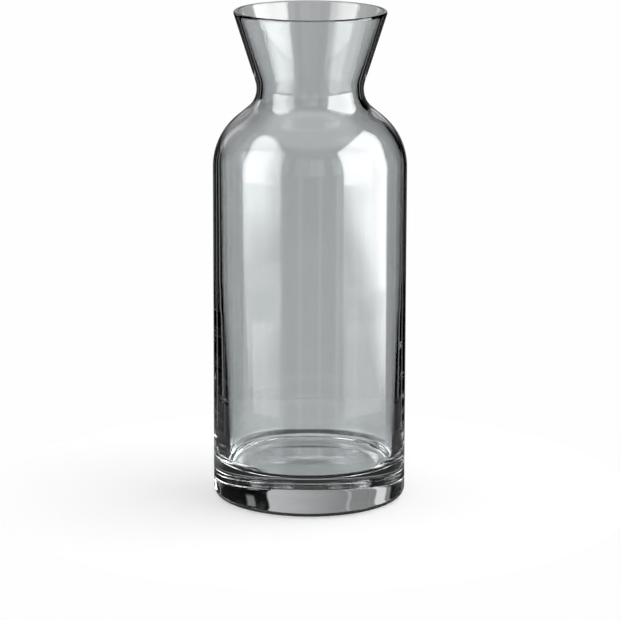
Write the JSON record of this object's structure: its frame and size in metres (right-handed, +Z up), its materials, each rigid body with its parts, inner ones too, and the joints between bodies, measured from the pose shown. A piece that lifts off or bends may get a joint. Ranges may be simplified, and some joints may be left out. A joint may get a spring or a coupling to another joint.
{
  "type": "wine decanter",
  "caption": "Clear smoke-grey glass decanter with a flared pouring mouth, a tight waist, round shoulders, a straight body and a thick solid base.",
  "frame": {"origin": "centre of the bearing ring under the base, on the surface the decanter stands on", "axes": "+Z up along the axis the vessel is turned about; +X and +Y are any two level directions"},
  "size_m": [0.1, 0.1, 0.2549],
  "materials": {
    "smoke_glass": "fire-polished, clear, faint smoke-grey tint"
  },
  "bodies": {
    "root": {"glass_decanter": "smoke_glass"}
  },
  "joints": []
}
